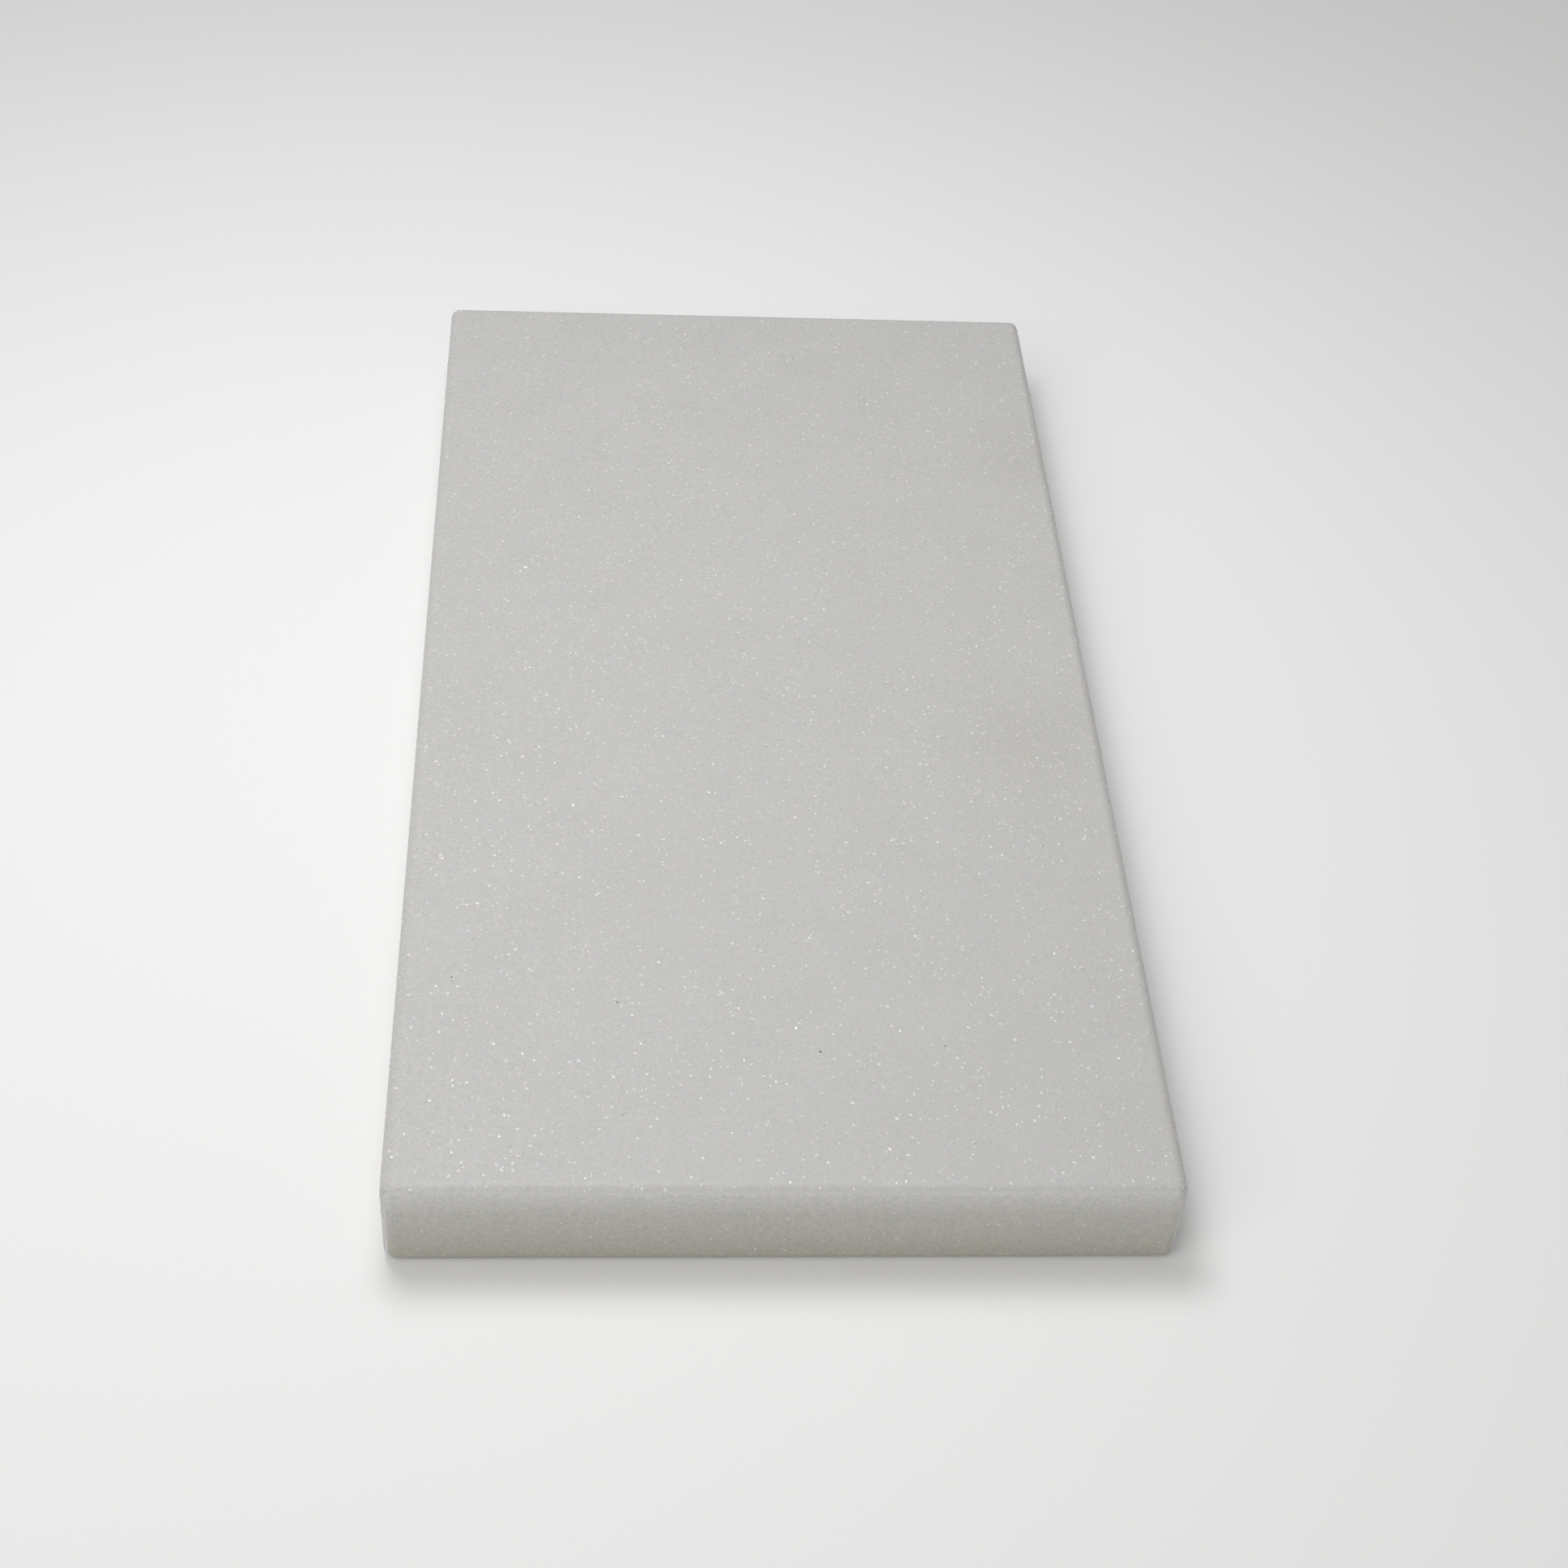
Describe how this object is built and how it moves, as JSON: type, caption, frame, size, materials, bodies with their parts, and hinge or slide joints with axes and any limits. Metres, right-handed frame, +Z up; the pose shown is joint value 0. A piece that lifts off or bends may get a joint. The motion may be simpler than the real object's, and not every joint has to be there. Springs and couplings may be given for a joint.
{
  "type": "nail buffer block",
  "caption": "Slim rectangular foam block with an abrasive coat on its two wide faces and two long sides and bare cut foam at its ends, for buffing nails by hand.",
  "frame": {"origin": "centre of the lower working face, on the surface that the block lies on", "axes": "+Z up through the thickness, +Y along the length towards the far end, +X across the width to the right"},
  "size_m": [0.049, 0.095, 0.007],
  "materials": {
    "foam": "matt, fine closed cells, off-white",
    "bond_resin": "thin matt white latex resin film",
    "grit": "matt white aluminium oxide grains in white resin, with small glints"
  },
  "bodies": {
    "root": {"foam_core": "foam", "top_bond_coat": "bond_resin", "bottom_bond_coat": "bond_resin", "left_bond_coat": "bond_resin", "right_bond_coat": "bond_resin", "top_grit_coat": "grit", "bottom_grit_coat": "grit", "left_grit_coat": "grit", "right_grit_coat": "grit"}
  },
  "joints": []
}
